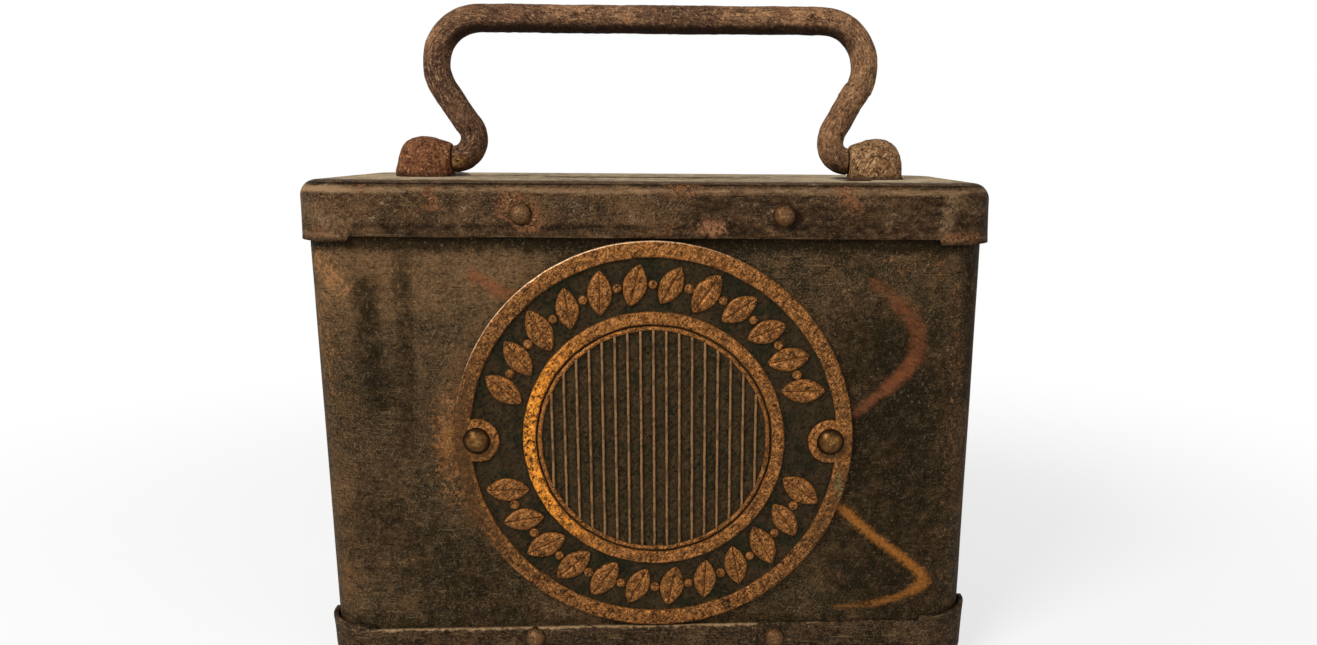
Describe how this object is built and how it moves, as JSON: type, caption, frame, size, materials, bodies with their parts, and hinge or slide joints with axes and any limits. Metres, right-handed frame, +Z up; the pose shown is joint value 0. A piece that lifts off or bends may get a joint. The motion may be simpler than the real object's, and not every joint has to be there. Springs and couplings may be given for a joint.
{
  "type": "coin bank",
  "caption": "Small upright sheet-steel coin bank with a folding wire handle, a coin slot in the lid, a round riveted medallion in front and a locked trapdoor underneath.",
  "frame": {"origin": "middle of the underside, on the table", "axes": "+X along the width to the right as seen from the front, -Y out of the front with the medallion, +Z up"},
  "size_m": [0.108, 0.0534, 0.1081],
  "materials": {
    "japanned_steel": "worn matt",
    "skirt_rivet": "worn",
    "lid_steel": "worn matt, rust spots",
    "medallion_copper": "aged copper",
    "bronze_rivet": "dark bronze",
    "rusty_ear": "rusted",
    "inside_steel": "dull grey",
    "rusty_rod": "rusted",
    "spring_steel": "bright",
    "lock_brass": "dull"
  },
  "bodies": {
    "box": {"body_shell": "japanned_steel", "seam_rivets": "skirt_rivet", "lid_cap": "lid_steel", "lid_rivets": "skirt_rivet", "base_pan": "japanned_steel", "base_rivets": "skirt_rivet", "medallion": "medallion_copper", "medallion_rivets": "bronze_rivet", "ear_left": "rusty_ear", "ear_right": "rusty_ear", "ear_plates": "inside_steel", "stop_rivets": "skirt_rivet", "coin_chute": "inside_steel", "chute_rivets": "inside_steel", "door_frame": "inside_steel", "frame_rivets": "inside_steel", "strike_plate": "inside_steel", "base_hinge_leaf": "inside_steel", "base_leaf_rivets": "inside_steel", "hinge_pin": "spring_steel"},
    "handle": {"handle": "rusty_rod"},
    "door": {"trapdoor": "inside_steel", "door_hinge_leaf": "inside_steel", "door_leaf_rivets": "inside_steel", "lock_plate": "inside_steel", "lock_case": "inside_steel", "lock_rivets": "inside_steel", "detent_spring": "spring_steel"},
    "bolt": {"lock_bolt": "lock_brass"},
    "hub": {"key_hub": "lock_brass"}
  },
  "joints": [
    {"name": "handle_fold", "type": "hinge", "parent": "box", "child": "handle", "pos_m": [0, 0, 0.0829], "axis": [1, 0, 0], "range_deg": [-90, 90]},
    {"name": "door_swing", "type": "hinge", "parent": "box", "child": "door", "pos_m": [0, 0.013, 0.002], "axis": [1, 0, 0], "range_deg": [0, 90]},
    {"name": "key_turn", "type": "hinge", "parent": "door", "child": "hub", "pos_m": [-0.0025, -0.007, 0.0014], "axis": [0, 0, -1], "range_deg": [0, 90]},
    {"name": "bolt_slide", "type": "slide", "parent": "door", "child": "bolt", "axis": [0, -1, 0], "range_m": [0, 0.003]}
  ],
  "couplings": [
    {"joint": "key_turn", "follows": "bolt_slide", "rad_per_m": 523.59}
  ]
}
